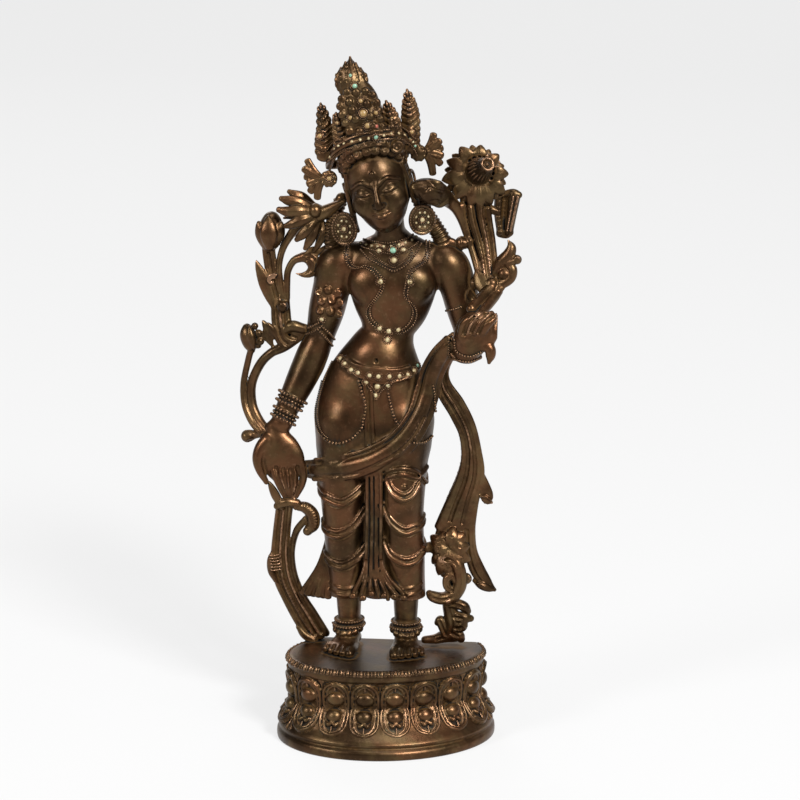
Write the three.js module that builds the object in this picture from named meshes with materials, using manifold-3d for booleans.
// A standing bodhisattva in cast bronze on a double lotus base, about 41 cm high.
// Millimetres, +Z up. The front faces -Y and the flat back of the base lies across +Y.
// The origin is on the underside, below the middle between the heels.
import * as THREE from "three";
import { mergeVertices } from "three/addons/utils/BufferGeometryUtils.js";
import Module from "manifold-3d";

const wasm = await Module();
wasm.setup();

// Driving sizes of the base
const BASE_HEIGHT = 52;
const TOP_HALF_WIDTH = 60.7;
const TOP_HALF_DEPTH = 41.6;
const WIDTH_PER_DEPTH = 0.516;
const BACK_PLANE = 20;
const BASE_CENTRE = [-2.5, -3];
const BASE_TURN = (13.8 * Math.PI) / 180;
const PETAL_COUNT = 11;
const PETAL_SHIFT = -0.14;

// Driving sizes of the figure
const SEAT = BASE_HEIGHT + 0.3;
const HEAD_TILT = THREE.MathUtils.degToRad(13);
const HEAD_CENTRE = [-5.2, -6, 338];
const STONE_GAP = 0.3;

// Colours of the metal and of the inlay
const BRONZE = { color: 0x5a3d2c, roughness: 0.42, metalness: 0.85 };
const BASE_BRONZE = { color: 0x5e4630, roughness: 0.48, metalness: 0.8 };
const CREAM = { color: 0xc9bb88, roughness: 0.45, metalness: 0 };
const TURQUOISE = { color: 0x77a58a, roughness: 0.4, metalness: 0 };

const FRONT = new THREE.Vector3(0, -1, 0);
const UP = new THREE.Vector3(0, 0, 1);

// Solids: a closed geometry becomes a solid, and a solid becomes a geometry again
function solid(geometry) {
  const bare = geometry.clone();
  bare.deleteAttribute("normal");
  bare.deleteAttribute("uv");
  const merged = mergeVertices(bare, 1e-4);
  return new wasm.Manifold(
    new wasm.Mesh({
      numProp: 3,
      vertProperties: merged.attributes.position.array,
      triVerts: new Uint32Array(merged.index.array),
    }),
  );
}

function join(solids) {
  return solids.reduce((whole, next) => whole.add(next));
}

// Corners closer than the weld distance become one, and the slivers between them go
const WELD = 0.03;

function geometryOf(body) {
  const mesh = body.getMesh();
  const geometry = new THREE.BufferGeometry();
  geometry.setAttribute("position", new THREE.BufferAttribute(mesh.vertProperties, 3));
  geometry.setIndex(new THREE.BufferAttribute(mesh.triVerts, 1));
  const welded = mergeVertices(geometry, WELD);
  const index = welded.index.array;
  const kept = new Map();
  for (let i = 0; i < index.length; i += 3) {
    const corners = [index[i], index[i + 1], index[i + 2]];
    if (new Set(corners).size < 3) continue;
    const first = corners.indexOf(Math.min(...corners));
    const turned = [0, 1, 2].map((k) => corners[(first + k) % 3]);
    const back = [turned[0], turned[2], turned[1]].join(" ");
    if (kept.has(back)) kept.delete(back);
    else kept.set(turned.join(" "), turned);
  }
  welded.setIndex([...kept.values()].flat());
  return welded;
}

// A value between the stations of a list, by straight steps
function between(values, t) {
  const place = t * (values.length - 1);
  const index = Math.min(Math.floor(place), values.length - 2);
  const share = place - index;
  return values[index] * (1 - share) + values[index + 1] * share;
}

// A round or oval bar along a curve. Each station is x, y, z, half width and half thickness,
// and the thickness lies along the direction that the bar turns its face to.
function bar(stations, sides = 8, steps = 10, face = FRONT) {
  const curve = new THREE.CatmullRomCurve3(stations.map(([x, y, z]) => new THREE.Vector3(x, y, z)));
  const widths = stations.map((station) => station[3]);
  const depths = stations.map((station) => station[4] ?? station[3]);
  const tube = new THREE.CylinderGeometry(1, 1, 1, sides, steps);
  const position = tube.attributes.position;
  for (let i = 0; i < position.count; i += 1) {
    const t = Math.min(Math.max(0.5 - position.getY(i), 0), 1);
    const along = curve.getTangent(t);
    const across = new THREE.Vector3().crossVectors(face, along).normalize();
    const outward = new THREE.Vector3().crossVectors(along, across);
    const point = curve.getPoint(t);
    point.addScaledVector(across, position.getX(i) * between(widths, t));
    point.addScaledVector(outward, position.getZ(i) * between(depths, t));
    position.setXYZ(i, point.x, point.y, point.z);
  }
  return solid(tube);
}

// A ball with three radii, turned by the three angles in degrees
function ball([x, y, z], [rx, ry, rz], turn = [0, 0, 0], sides = 10, rows = 6) {
  const angles = turn.map(THREE.MathUtils.degToRad);
  const shape = new THREE.SphereGeometry(1, sides, rows)
    .rotateX(Math.PI / 2)
    .scale(rx, ry, rz)
    .rotateX(angles[0])
    .rotateY(angles[1])
    .rotateZ(angles[2])
    .translate(x, y, z);
  return solid(shape);
}

// A pointed leaf from its foot to its tip, with a ridge along its middle
function leaf(foot, tip, width, thickness, face = FRONT, bulge = 0) {
  const from = new THREE.Vector3(...foot);
  const to = new THREE.Vector3(...tip);
  const shares = [0, 0.4, 0.78, 1];
  const swell = [0.55, 1.05, 0.85, 0.1];
  const stations = shares.map((share, i) => {
    const point = from.clone().lerp(to, share);
    point.addScaledVector(face, bulge * Math.sin(Math.PI * share));
    return [point.x, point.y, point.z, width * swell[i], thickness * swell[i]];
  });
  return bar(stations, 4, 3, face);
}

// The outline of the base: an ellipse, a little turned, cut straight across at the back
const STEPS_PER_PETAL = 4;
const FRONT_STEPS = PETAL_COUNT * STEPS_PER_PETAL;
const BACK_STEPS = 3;
const OUTLINE_STEPS = FRONT_STEPS + BACK_STEPS;

function onEllipse(angle, halfWidth, halfDepth) {
  const along = halfWidth * Math.cos(angle);
  const across = halfDepth * Math.sin(angle);
  return [
    BASE_CENTRE[0] + along * Math.cos(BASE_TURN) - across * Math.sin(BASE_TURN),
    BASE_CENTRE[1] + along * Math.sin(BASE_TURN) + across * Math.cos(BASE_TURN),
  ];
}

// Even distances along the curved front, as angles on the ellipse
function frontAngles() {
  const deepSide = TOP_HALF_WIDTH * Math.sin(BASE_TURN);
  const deepFront = TOP_HALF_DEPTH * Math.cos(BASE_TURN);
  const corner = Math.asin((BACK_PLANE - BASE_CENTRE[1]) / Math.hypot(deepSide, deepFront));
  const lead = Math.atan2(deepSide, deepFront);
  const start = Math.PI - corner - lead;
  const sweep = Math.PI + 2 * corner;
  const fine = 720;
  const lengths = [0];
  for (let i = 1; i <= fine; i += 1) {
    const angle = start + (sweep * (i - 0.5)) / fine;
    const speed = Math.hypot(TOP_HALF_WIDTH * Math.sin(angle), TOP_HALF_DEPTH * Math.cos(angle));
    lengths.push(lengths[i - 1] + speed);
  }
  return Array.from({ length: FRONT_STEPS + 1 }, (_, step) => {
    const atCorner = step === 0 || step === FRONT_STEPS;
    const shifted = atCorner ? step : step + PETAL_SHIFT * STEPS_PER_PETAL;
    const wanted = (lengths[fine] * shifted) / FRONT_STEPS;
    const i = Math.max(lengths.findIndex((length) => length >= wanted - 1e-6), 0);
    return start + (sweep * i) / fine;
  });
}
const FRONT_ANGLES = frontAngles();

function outlinePoint(step, halfDepth, petalRise) {
  const halfWidth = TOP_HALF_WIDTH + WIDTH_PER_DEPTH * (halfDepth - TOP_HALF_DEPTH);
  if (step <= FRONT_STEPS) {
    const phase = (step % STEPS_PER_PETAL) / STEPS_PER_PETAL;
    const rise = petalRise * Math.sin(Math.PI * phase) ** 0.7;
    const [x, y] = onEllipse(FRONT_ANGLES[step], halfWidth + rise, halfDepth + rise);
    return [x, Math.min(y, BACK_PLANE)];
  }
  const [leftX] = onEllipse(FRONT_ANGLES[0], halfWidth, halfDepth);
  const [rightX] = onEllipse(FRONT_ANGLES[FRONT_STEPS], halfWidth, halfDepth);
  const share = (step - FRONT_STEPS) / BACK_STEPS;
  return [rightX + (leftX - rightX) * share, BACK_PLANE];
}

// Height, half depth and swell of the petals at each level of the base, from the foot up
const BASE_PROFILE = [
  [0, 53.2, 0],
  [6, 53.6, 0],
  [12.6, 50.6, 0],
  [14.6, 48.2, 0.6],
  [19, 48, 3],
  [25, 46.4, 2.8],
  [29.6, 44, 0.3],
  [37, 44.8, 2.6],
  [44.6, 43.4, 0.3],
  [47, 41.6, 0],
  [BASE_HEIGHT, 41.8, 0],
];

function lotusBase() {
  const levels = BASE_PROFILE.length - 1;
  const shell = new THREE.CylinderGeometry(1, 1, 1, OUTLINE_STEPS, levels);
  const position = shell.attributes.position;
  for (let i = 0; i < position.count; i += 1) {
    const x = position.getX(i);
    const z = position.getZ(i);
    const [height, halfDepth, petalRise] = BASE_PROFILE[Math.round((position.getY(i) + 0.5) * levels)];
    if (Math.hypot(x, z) < 0.5) {
      position.setXYZ(i, 0, 0, height);
      continue;
    }
    const angle = (Math.atan2(-z, x) + 2 * Math.PI) % (2 * Math.PI);
    const step = Math.round((angle / (2 * Math.PI)) * OUTLINE_STEPS) % OUTLINE_STEPS;
    const [px, py] = outlinePoint(step, halfDepth, petalRise);
    position.setXYZ(i, px, py, height);
  }
  return solid(shell);
}

// Trunk from the hips to the base of the neck: x, y, z, half width, half depth
const TRUNK = [
  [-10, 1, 184, 35, 20],
  [-10, 1, 198, 36, 20.5],
  [-9.6, 1, 212, 33.5, 19.5],
  [-7.4, 1, 226, 27.5, 17.5],
  [-5, 1, 238, 21, 14.5],
  [-2, 0.5, 248, 16, 12.5],
  [-0.8, 0.5, 256, 16.6, 12.5],
  [0.8, 0.5, 266, 22, 14],
  [1.4, 0.5, 278, 26, 15.5],
  [1.6, 1.5, 290, 28, 14.5],
  [1.4, 3, 299, 24, 11],
  [1.2, 3.5, 305, 13, 8.5],
];

function trunk() {
  const neck = bar([[1.4, 3, 298, 9, 8.5], [0.6, 1, 308, 8.4, 8.4], [-1, -3, 322, 9, 9]], 8, 2);
  const chest = [
    ball([-10, -8.5, 282], [12, 6.5, 10], [0, 0, 0], 7, 4),
    ball([13.5, -8.5, 283], [12, 6.5, 10], [0, 0, 0], 7, 4),
  ];
  return join([bar(TRUNK, 10, 9), neck, ...chest]);
}

// Each leg from hip to ankle under the skirt
const SKIRT_TOP = 196;
const HEM = 87;
const FOLD_HEIGHTS = [142, 123, 105];
const FOLD_SWELL = 1.9;
const RIGHT_LEG = [
  [-27, 0, 196, 17, 19],
  [-27.6, -1, 172, 16.6, 18.5],
  [-28.2, -2, 150, 14, 15.5],
  [-27.6, -1.5, 134, 13.2, 14],
  [-27, 0, 116, 12.6, 13.5],
  [-26.4, 0.5, 98, 11, 12],
  [-26.2, 0, 87, 11.2, 12],
];
const LEFT_LEG = [
  [8, 0, 196, 17, 19],
  [7.2, -2, 172, 15.6, 18.5],
  [7.6, -5, 152, 13.6, 15.5],
  [7.4, -3, 136, 13, 14],
  [8.2, -1, 116, 12.6, 13.5],
  [9.4, 0, 98, 11.6, 12],
  [9.8, 0, 87, 11.4, 12],
];

function legAt(leg, z) {
  for (let i = 1; i < leg.length; i += 1) {
    if (z >= leg[i][2]) {
      const share = (leg[i - 1][2] - z) / (leg[i - 1][2] - leg[i][2]);
      return leg[i].map((value, k) => leg[i - 1][k] * (1 - share) + value * share);
    }
  }
  return leg[leg.length - 1];
}

// The skirt: one tube round both legs. Its outline runs along the front, over the right
// leg, the pleats between the legs and the left leg, and then straight across behind.
const LEG_ANGLES = [-96, -60, -22, 18, 58];
const PLEATS = [-1, -0.5, 0, 0.5, 1];
const BACK_SHARES = [0.06, 0.32, 0.5, 0.68, 0.94];
const SKIRT_POINTS = 2 * LEG_ANGLES.length + PLEATS.length + BACK_SHARES.length;

function skirtOutline(z, swell) {
  const right = legAt(RIGHT_LEG, z);
  const left = legAt(LEFT_LEG, z);
  const spread = THREE.MathUtils.mapLinear(z, SKIRT_TOP, HEM, 0, 1);
  const onLeg = ([x, y, , halfWidth, halfDepth], degrees) => {
    const angle = THREE.MathUtils.degToRad(degrees);
    return [x + (halfWidth + swell) * Math.sin(angle), y - (halfDepth + swell) * Math.cos(angle)];
  };
  const front = LEG_ANGLES.map((degrees) => onLeg(right, degrees));
  const middle = THREE.MathUtils.lerp(-9.4, -6, spread);
  const panelHalf = THREE.MathUtils.lerp(5, 9.4, spread ** 2);
  for (const share of PLEATS) {
    const crest = Math.abs(share) === 0.5 ? -1.4 : 1.2;
    front.push([middle + share * panelHalf, THREE.MathUtils.lerp(-19.5, -13, spread) - crest]);
  }
  for (const degrees of [...LEG_ANGLES].reverse()) front.push(onLeg(left, -degrees));
  const [startX] = front[front.length - 1];
  const [endX] = front[0];
  const depth = THREE.MathUtils.lerp(20, 13, spread);
  const back = BACK_SHARES.map((share) => [
    THREE.MathUtils.lerp(startX, endX, share),
    depth * (1 - 1.1 * (share - 0.5) ** 2),
  ]);
  return [...front, ...back];
}

// Levels of the skirt: plain, or the three rings of a fold
function skirtLevels() {
  const levels = [SKIRT_TOP, 176, 156].map((z) => ({ z, swell: 0 }));
  for (const z of FOLD_HEIGHTS) {
    levels.push({ z: z + 4, swell: 0 }, { z, swell: FOLD_SWELL }, { z: z - 3, swell: -0.3 });
  }
  levels.push({ z: HEM + 4, swell: 0 }, { z: HEM + 1.4, swell: FOLD_SWELL }, { z: HEM - 1, swell: 1 });
  return levels;
}

function skirtTube() {
  const levels = skirtLevels();
  const tube = new THREE.CylinderGeometry(1, 1, 1, SKIRT_POINTS, levels.length - 1);
  const position = tube.attributes.position;
  for (let i = 0; i < position.count; i += 1) {
    const { z, swell } = levels[Math.round((0.5 - position.getY(i)) * (levels.length - 1))];
    if (Math.hypot(position.getX(i), position.getZ(i)) < 0.5) {
      position.setXYZ(i, -9, 2, z);
      continue;
    }
    const angle = (Math.atan2(-position.getZ(i), position.getX(i)) + 2 * Math.PI) % (2 * Math.PI);
    const step = Math.round((angle / (2 * Math.PI)) * SKIRT_POINTS) % SKIRT_POINTS;
    const [x, y] = skirtOutline(z, swell)[step];
    position.setXYZ(i, x, y, z);
  }
  return solid(tube);
}

function foot(x, y, turn) {
  const angle = THREE.MathUtils.degToRad(turn);
  const toward = (reach) => [x + reach * Math.sin(angle), y - reach * Math.cos(angle)];
  const stations = [
    [-11, 5, 4.4, 4],
    [-5, 7, 7, 7],
    [6, 5.4, 8.4, 5.4],
    [14, 3.6, 10, 3.6],
    [18, 2.4, 9, 2.2],
  ];
  const sole = stations.map(([reach, height, halfWidth, halfHeight]) => [
    ...toward(reach),
    SEAT + height,
    halfWidth,
    halfHeight,
  ]);
  const ankle = [
    [x, y + 3, SEAT + 4, 6.5, 7],
    [x, y + 2, SEAT + 14, 8.4, 9],
    [x, y + 2, SEAT + 20, 6.4, 7],
    [x, y + 2, 92, 7, 8],
  ];
  const block = new THREE.BoxGeometry(12, 22, 6).rotateZ(angle).translate(x, y - 3, SEAT);
  return join([bar(sole, 7, 4, UP), bar(ankle, 7, 3), solid(block)]);
}

function skirtFlare() {
  const stations = [[-36, 0, 126, 2.4, 3.4], [-42, 1, 103, 4.4, 3.4], [-46, 1, 82, 8.4, 3.6]];
  return bar(stations, 6, 3);
}

// Arms, with their rings as swellings. The right one hangs beside the lotus stem,
// the left one is bent and raised in front.
const RIGHT_ARM = [
  [-25, 3, 297, 7, 7],
  [-33, 3, 291, 11.5, 11],
  [-35.5, 4, 276, 11, 11],
  [-38.6, 5, 263, 11.6, 11.8],
  [-43, 5.5, 246, 9.6, 10],
  [-48, 3, 233, 9.8, 9.6],
  [-55, -1, 218, 9, 8.8],
  [-61.6, -4.6, 203, 8.6, 8.2],
  [-65, -6.6, 195, 8.4, 7.6],
  [-66, -7, 190, 6.6, 5],
];
const LEFT_ARM = [
  [27, 3, 298, 8, 7],
  [35, 4, 292, 11.5, 11],
  [40, 6, 278, 10.8, 11],
  [43, 7, 266, 11.4, 11.8],
  [47, 6, 250, 9.2, 9.8],
];
const LEFT_FOREARM = [
  [47, 8, 247, 9, 9.4],
  [47.6, -2, 244.6, 9.6, 9.8],
  [48, -14, 246, 9, 9.2],
  [48.6, -25, 250, 8.2, 8.6],
  [49, -30, 256, 7, 6.4],
];

function rightHand() {
  const palm = bar([
    [-65, -7, 193, 6.6, 4.6],
    [-67, -9, 181, 10, 4.6],
    [-66, -9.5, 172, 10.4, 4.4],
  ], 6, 2);
  const fingers = [0, 1, 2, 3].map((k) =>
    bar(
      [
        [-71 + k * 3.8, -9, 175 + k * 0.6, 2.6],
        [-67 + k * 4, -10, 162 + k * 1.2, 2.6],
        [-61 + k * 2, -8, 147 + k * 1.5, 1.4],
      ],
      4,
      2,
    ),
  );
  const thumb = bar([[-72, -10, 185, 3.6], [-78, -11.5, 172, 2.9], [-73.4, -11, 160, 1.6]], 4, 2);
  return join([palm, ...fingers, thumb]);
}

function leftHand() {
  const palm = bar([[49, -30, 254, 7.4, 5], [50.4, -33, 262, 8.8, 5], [52, -33, 269, 7.4, 4]], 6, 2);
  const fingers = [
    [[55, -33, 266, 2.6], [58, -34, 272, 2.4], [60, -32, 277, 1.6]],
    [[54, -32, 258, 3], [62, -31, 261, 2.4], [66.6, -27, 271, 1.5]],
    [[54, -33, 256, 3], [60.6, -33, 249, 2.4], [62, -32, 240, 1.4]],
    [[47, -34, 264, 2.8], [44.6, -36, 258, 2.4], [46, -36, 252, 1.6]],
  ].map((stations) => bar(stations, 4, 2));
  return join([palm, ...fingers]);
}

function arms() {
  return join([
    bar(RIGHT_ARM, 6, 9),
    bar(LEFT_ARM, 6, 4),
    bar(LEFT_FOREARM, 6, 4, UP),
    rightHand(),
    leftHand(),
  ]);
}

// Head and crown, built upright round the head's centre and then tilted to the figure's right
function onHead(body) {
  const turn = new THREE.Matrix4().makeRotationY(-HEAD_TILT);
  turn.setPosition(...HEAD_CENTRE);
  return body.transform(turn.elements);
}

function face() {
  const stations = [
    [0, 2, 25, 8, 9],
    [0, 2, 20, 16, 17],
    [0, 1, 8, 18.6, 20],
    [0, 0, -3, 17.6, 19],
    [0, -2, -13, 13, 15.4],
    [0, -6, -20, 6, 8],
  ];
  const nose = leaf([0, -20, -6], [0, -18, 6], 2.8, 3);
  const lips = ball([0, -15.4, -11], [4.6, 3.4, 2], [0, 0, 0], 5, 3);
  const lids = [-1, 1].map((side) => ball([side * 7, -16, 1.6], [4.4, 3, 2.6], [0, 0, 0], 5, 3));
  const ears = [-1, 1].map((side) => leaf([side * 18.6, 0, 6], [side * 19.6, -1, -19], 3.4, 2.8));
  return join([bar(stations, 9, 5), nose, lips, ...lids, ...ears]);
}

function crown() {
  const band = bar(
    [
      [-27, 3, 20, 2.6, 3],
      [-19, -12, 30, 2.8, 3],
      [0, -19.6, 35, 3, 3],
      [19, -12, 31, 2.8, 3],
      [27, 3, 20.5, 2.6, 3],
    ],
    5,
    8,
    UP,
  );
  const cap = bar([
    [0, 3, 14, 21, 19],
    [0, 3, 28, 20, 18],
    [0, 2, 44, 13, 12],
    [0, 0, 58, 7, 7],
  ], 8, 3);
  const panel = leaf([0, -14, 34], [0, -6, 66], 12.5, 5.5);
  const points = [-1, 1].flatMap((side) => [
    leaf([side * 13, -13, 32], [side * 15.4, -9, 50], 6, 3.6),
    leaf([side * 22, -6, 26], [side * 25, -3, 56], 6.6, 4.2),
  ]);
  const finial = [
    leaf([0, -4, 58], [0, -2, 79.6], 6.4, 3.4),
    leaf([0, -4, 62], [-8.6, -2, 73], 3, 2.2),
    leaf([0, -4, 62], [8.6, -2, 73], 3, 2.2),
  ];
  const fans = [-1, 1].flatMap((side) =>
    [-34, 0, 34].map((angle) => {
      const lean = THREE.MathUtils.degToRad(angle);
      const tip = [side * (29 + 15 * Math.cos(lean)), 0, 13 + 15 * Math.sin(lean)];
      return leaf([side * 15, 0, 13], tip, 4.4, 1.9);
    }),
  );
  const rosettes = [-1, 1].map((side) => ball([side * 25.6, -3, 14], [5.6, 4.4, 5], [0, 0, 0], 5, 3));
  return join([band, cap, panel, ...points, ...finial, ...fans, ...rosettes]);
}

// Large round ear ornaments, facing forwards beside the neck
const EAR_ORNAMENTS = [
  { centre: [-26, -8, 314.6], radius: [7.8, 9.4], yaw: -18 },
  { centre: [19.6, -8, 321], radius: [7.4, 8.6], yaw: 16 },
];

function earOrnaments() {
  const discs = EAR_ORNAMENTS.map(({ centre, radius, yaw }) => {
    const disc = new THREE.CylinderGeometry(1, 1, 4, 12, 1)
      .scale(radius[0], 1, radius[1])
      .rotateZ(THREE.MathUtils.degToRad(yaw))
      .translate(...centre);
    return solid(disc);
  });
  const locks = [
    bar([[-29, 1, 330, 4], [-34, 2, 318, 4.4], [-35, 3, 303, 5.4], [-33, 4, 297, 3]], 6, 3),
    bar([[15, 0, 334, 4], [22, 2, 322, 4.4], [29, 3, 308, 5.6], [32, 4, 301, 4]], 6, 3),
  ];
  return join([...discs, ...locks]);
}

// Jewellery: the collar, the long necklace with its pendants, and the belt
function jewellery() {
  const collar = bar(
    [
      [-17, -3, 302, 2.4, 4],
      [-9, -9, 297, 3.6, 4],
      [3, -12, 292.4, 4.8, 5],
      [13, -9, 298, 3.6, 4],
      [21, -3, 303, 2.4, 4],
    ],
    4,
    6,
  );
  const strings = [
    [
      [-23, -8, 297, 1.4],
      [-18, -14, 290, 1.4],
      [-8, -17, 287, 1.5],
      [-4.6, -17, 281, 1.8],
      [-8, -16, 272, 1.4],
      [-11, -14, 262, 1.4],
      [-4, -14, 257, 1.6],
      [1, -14, 255, 1.8],
    ],
    [
      [26, -8, 303, 1.4],
      [24, -13, 294, 1.4],
      [16, -17, 289, 1.5],
      [13, -17, 283, 1.8],
      [12, -16, 275, 1.4],
      [16, -14, 265, 1.4],
      [9, -14, 257, 1.6],
      [3, -14, 255, 1.8],
    ],
  ].map((stations) => bar(stations, 4, 6));
  const pendant = [
    leaf([0, -14, 258], [0.4, -14, 246], 3.4, 2.2),
    leaf([3.6, -16, 292], [3.8, -16, 281], 3.4, 2),
  ];
  const belt = bar(
    [
      [-29, 4, 238, 2.2, 4],
      [-24, -12, 234, 2.2, 4.4],
      [-8, -19.4, 229, 2.4, 5],
      [8, -16, 230, 2.2, 4.6],
      [17, 2, 236, 2.2, 4],
    ],
    4,
    6,
    UP,
  );
  return join([collar, ...strings, ...pendant, belt]);
}

// The sash crosses the thighs and climbs to the left forearm
const SASH = [
  [-51, -6, 165.4, 4.2, 3],
  [-36, -14, 166.6, 4.4, 3.4],
  [-22, -19, 168.6, 4.6, 3.6],
  [-8.4, -21.6, 172.4, 4.8, 3.6],
  [5, -22, 181, 5.2, 3.6],
  [15, -18.4, 193, 5, 3.4],
  [21.4, -14, 209, 4.4, 3],
  [24.6, -12, 227, 4.4, 3],
  [29.6, -12, 238.6, 4.6, 3],
  [38, -14, 248, 4.8, 3],
  [46, -17, 256, 4.4, 3],
];

// The scarf falls from the left elbow, widens, and ends in ruffled folds and a tail
const SCARF = [
  [42, 0, 245, 4, 4],
  [34, -5, 229, 5, 2.8],
  [38.6, -5, 212.6, 5.2, 2.6],
  [46, -4, 196, 5.7, 2.6],
  [49, -2, 179, 6, 2.6],
  [49.6, 0, 164, 6.8, 2.8],
  [46.4, 2, 148, 8.6, 3],
  [41.6, 4, 131, 10, 3.2],
  [39, 5, 117, 10.6, 3.6],
  [40, 7, 105, 8.6, 3.6],
  [42, 8, 97, 5, 2.6],
];

function hangingScarf() {
  const tail = bar([
    [41, 8, 124, 7, 2.6],
    [48, 9, 110, 6.6, 2.6],
    [55.6, 9, 98, 4.6, 2.4],
    [62.6, 9, 90, 1.2, 1],
  ], 6, 3);
  const corner = leaf([48, 1, 150], [60.4, 1, 145], 4, 2, UP);
  const ruffles = [
    [[30, 3, 126, 2.6], [34, 0, 120, 4], [33, -1, 112, 3.6], [37, 0, 105, 2.8]],
    [[38, 1, 132, 2.6], [41, -1, 121, 4], [42, 0, 109, 3]],
  ].map((stations) => bar(stations, 4, 3));
  const scroll = bar(
    [
      [33, 5, 111, 3.6],
      [41, 5, 105, 4],
      [44, 5, 96, 4],
      [38, 4, 89, 4],
      [28, 2, 87, 3],
      [22, 1, 88, 1],
    ],
    5,
    7,
  );
  const strut = bar([[14, 1, 117, 2.4], [26, 3, 118, 3], [34, 4, 118, 3]], 5, 2, UP);
  const neck = bar([
    [35, 5, 92, 3],
    [36, 7, 78, 3.4],
    [41, 9, 71, 5.4],
    [44, 10, 62, 4.8],
    [37, 10, 58, 4.2],
    [27, 9, 56.4, 3.4],
    [17, 7, 56.4, 3.2],
  ], 5, 6);
  const curl = bar([[34, 9, 60, 3.2], [30.6, 8, 66, 3.2], [28.6, 7, 72, 1.2]], 5, 2);
  return join([bar(SCARF, 6, 8), tail, corner, ...ruffles, scroll, strut, neck, curl]);
}

// The lotus plant at the figure's right, from the base up to the flower at the shoulder
const STEM_SIDES = 4;

function rightPlant() {
  const stems = [
    [
      [-43, 11, 55, 7, 4],
      [-55, 10, 69, 5.6, 4],
      [-65, 7, 90, 5.4, 4.2],
      [-68, 3, 110, 5.2, 4],
      [-66, 1, 127, 5.6, 4],
      [-61, -2, 144, 6.4, 4],
      [-58, -6, 158, 5, 4],
    ],
    [
      [-42, 3, 250, 5, 4],
      [-58, 1, 247, 4, 3.6],
      [-74, 1, 238, 4.4, 3.6],
      [-86, 3, 219, 4.8, 3.6],
      [-85, 1, 200, 4.6, 3.6],
      [-77, -2, 190, 5.4, 3.6],
      [-64, -5, 189, 5, 3.6],
    ],
    [[-58, 1, 246, 4, 3.4], [-65, 3, 260, 5, 3.6], [-72, 5, 288, 3.3, 3], [-73, 5, 304, 3, 3]],
    [[-57, 1, 248, 3.6, 3.4], [-63, 5, 272, 3.4, 3], [-62, 7, 300, 3, 3], [-50, 7, 318, 3.6, 3]],
    [[-62, 5, 273, 2.4], [-60, 5, 286, 2.6], [-50, 4, 297, 4], [-50, 2, 289, 3]],
    [[-52, 6, 312, 2.6], [-44, 5, 304, 2.6], [-33, 4, 300, 3]],
  ].map((stations) => bar(stations, STEM_SIDES, stations.length - 1));
  const buds = [
    leaf([-80, 2, 228], [-87.4, 2, 254], 5.4, 4.4),
    leaf([-73, 5, 299], [-74.6, 5, 320], 7.4, 6.4),
    leaf([-71, 4, 266], [-81, 4, 292], 3.8, 2),
    leaf([-80, 0, 190], [-93, 2, 185], 4.6, 4.2),
    bar([[-66, -4, 138, 3], [-55, -5, 142, 5], [-46, -5, 136, 6], [-48, -5, 127, 3]], 5, 4),
  ];
  const flowerPetals = [205, 180, 155, 130, 105].map((angle, k) => {
    const lean = THREE.MathUtils.degToRad(angle);
    const reach = 19 - Math.abs(k - 2) * 1.8;
    const tip = [-48.6 + reach * Math.cos(lean), 6 - 3 * (k % 2), 320 + reach * Math.sin(lean)];
    return leaf([-47.6, 5, 320], tip, 4.8, 2.2, FRONT, 2);
  });
  const pod = [
    ball([-46.4, 3, 322], [5.4, 5.4, 5.4], [0, 0, 0], 6, 4),
    leaf([-46, 2, 322], [-28, 0, 329], 4, 4),
  ];
  return join([...stems, ...buds, ...flowerPetals, ...pod]);
}

// An open lotus seen from the front: a disc with a petalled rim and a seed pod in the middle
const OPEN_FLOWER = { centre: [53, 6, 347], petals: 12, reach: 20, stepsPerPetal: 2 };

function openFlower() {
  const { centre, petals, reach, stepsPerPetal } = OPEN_FLOWER;
  const steps = petals * stepsPerPetal;
  const levels = [
    [0.4, 5, 0],
    [0.94, 2, 0.26],
    [1, 0, 0.3],
    [0.7, -3, 0.18],
    [0.42, -1.6, 0],
    [0.42, -8, 0],
    [0.2, -10, 0],
  ];
  const shell = new THREE.CylinderGeometry(1, 1, 1, steps, levels.length - 1);
  const position = shell.attributes.position;
  for (let i = 0; i < position.count; i += 1) {
    const [radius, depth, notch] = levels[Math.round((0.5 - position.getY(i)) * (levels.length - 1))];
    const angle = Math.atan2(position.getZ(i), position.getX(i));
    const inward = Math.hypot(position.getX(i), position.getZ(i)) < 0.5 ? 0 : 1;
    const gap = Math.abs(Math.sin((angle * petals) / 2));
    const r = reach * inward * radius * (1 - notch * gap);
    position.setXYZ(i, centre[0] + r * Math.cos(angle), centre[1] + depth, centre[2] + r * Math.sin(angle));
  }
  return solid(shell);
}

const BOOK_LEAN = 11;

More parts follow.
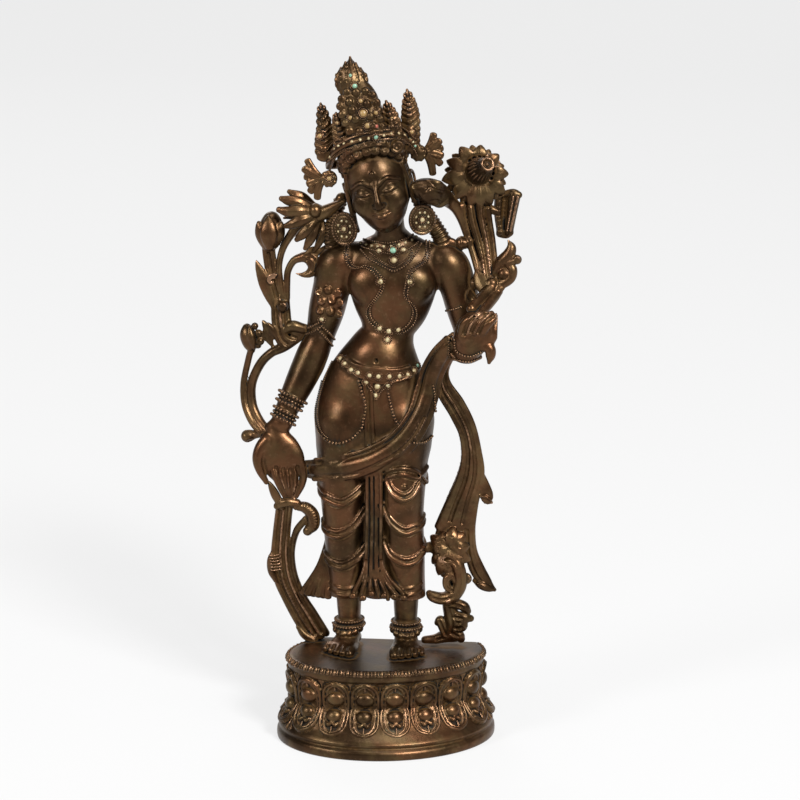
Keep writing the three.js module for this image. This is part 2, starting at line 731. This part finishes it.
// The lotus plant at the figure's left, from the raised hand up to the open flower and the book
function leftPlant() {
  const stems = [
    [
      [50, -24, 264, 4, 4],
      [54, -9, 271, 5.4, 4.6],
      [60, -1, 284, 6.6, 5],
      [57, 2, 297, 6.6, 4.6],
      [53.6, 4, 312, 7.2, 4.6],
      [53, 6, 327, 7.8, 4.6],
      [53, 7, 342, 7, 4],
    ],
    [[49, 5, 309, 3.6], [44, 5, 316, 3], [42, 4, 328, 3.4], [32, 2, 335, 3.6], [27, 1, 336, 3]],
    [[58, -2, 279, 4], [68, -2, 282, 4], [71.4, -2, 297, 4.6], [71, -2, 308.6, 1]],
    [[66, -2, 281, 3.6], [75, -2, 287, 2.6], [77, -2, 297, 0.5]],
    [[38, 4, 281, 3.4], [58, -2, 280, 4]],
    [[54, 7, 318, 3], [68, 8, 314, 3]],
    [[50, 4, 309, 3], [38.6, 3, 304.6, 4.8]],
  ].map((stations) => bar(stations, STEM_SIDES, stations.length - 1));
  const earBud = leaf([31, 2, 335], [11.6, -1, 340], 7.6, 6.4);
  const lean = THREE.MathUtils.degToRad(BOOK_LEAN);
  const book = new THREE.BoxGeometry(16, 7, 25).rotateY(lean).translate(68, 10, 322.4);
  const strap = new THREE.BoxGeometry(2.4, 9, 26).rotateY(lean).translate(73.4, 8.4, 322.4);
  return join([...stems, earBud, openFlower(), solid(book), solid(strap)]);
}

function figureBody() {
  return join([
    trunk(),
    skirtTube(),
    skirtFlare(),
    foot(-25.6, 0, -14),
    foot(9.4, -2, 10),
    arms(),
    onHead(face().add(crown())),
    earOrnaments(),
    jewellery(),
    bar(SASH, 5, 9),
    hangingScarf(),
    rightPlant(),
    leftPlant(),
  ]);
}

// Inlaid stones: x and z on the front, radius and colour
const STONES = [
  ["crown_front", -6.2, 371, 3.2, TURQUOISE],
  ["ear_right", -26, 314.6, 3.2, CREAM],
  ["ear_left", 19.6, 321, 3.2, CREAM],
  ["collar_centre", 3.4, 298, 2.9, TURQUOISE],
  ["chain_drop", 0.6, 252.6, 2.6, CREAM],
  ["belt_3", -5.6, 226.4, 2.8, CREAM],
];
const STONE_RISE = 1;
const POCKET_DEPTH = 1.2;
const POCKET_LENGTH = 12;
const IN_FRONT = -200;
const CABOCHON_SIDES = 6;

// Where a line from the front meets the figure, and the way the setting faces there
function seatOn(mesh, x, z) {
  const ray = new THREE.Raycaster(new THREE.Vector3(x, IN_FRONT, z), new THREE.Vector3(0, 1, 0));
  const hit = ray.intersectObject(mesh)[0];
  const facing = hit.face.normal.clone().multiplyScalar(0.4).add(FRONT).normalize();
  return { point: hit.point, facing };
}

function standing(geometry, seat, lift) {
  const turn = new THREE.Quaternion().setFromUnitVectors(new THREE.Vector3(0, 1, 0), seat.facing);
  const place = seat.point.clone().addScaledVector(seat.facing, lift);
  return geometry.applyQuaternion(turn).translate(place.x, place.y, place.z);
}

function plug(radius, height) {
  return new THREE.CylinderGeometry(radius, radius, height, CABOCHON_SIDES);
}

function cabochon(radius) {
  const floor = STONE_GAP - POCKET_DEPTH;
  return new THREE.LatheGeometry(
    [
      new THREE.Vector2(0, floor),
      new THREE.Vector2(radius, floor),
      new THREE.Vector2(radius, STONE_RISE),
      new THREE.Vector2(0, STONE_RISE + radius * 0.5),
    ],
    CABOCHON_SIDES,
  );
}

function named(name, geometry, look) {
  const flat = geometry.index ? geometry.toNonIndexed() : geometry.clone();
  flat.computeVertexNormals();
  const mesh = new THREE.Mesh(flat, new THREE.MeshStandardMaterial(look));
  mesh.name = name;
  return mesh;
}

const part = new THREE.Group();
const wholeBase = lotusBase();
const plain = figureBody();
const plainMesh = named("plain", geometryOf(plain), BRONZE);
plainMesh.material.side = THREE.DoubleSide;

let figure = plain;
const stones = [];
for (const [name, x, z, radius, look] of STONES) {
  const seat = seatOn(plainMesh, x, z);
  const pocket = standing(plug(radius + STONE_GAP, POCKET_LENGTH), seat, POCKET_LENGTH / 2 - POCKET_DEPTH);
  figure = figure.subtract(solid(pocket));
  stones.push(named(`stone_${name}`, standing(cabochon(radius), seat, 0), look));
}

// The figure stands a hair above the base, so the two solids stay apart
const below = new THREE.BoxGeometry(400, 400, 40).translate(0, 0, SEAT - 20);
figure = figure.subtract(solid(below));

part.add(named("figure", geometryOf(figure), BRONZE));
part.add(named("lotus_base", geometryOf(wholeBase), BASE_BRONZE));
part.add(...stones);

export default part;
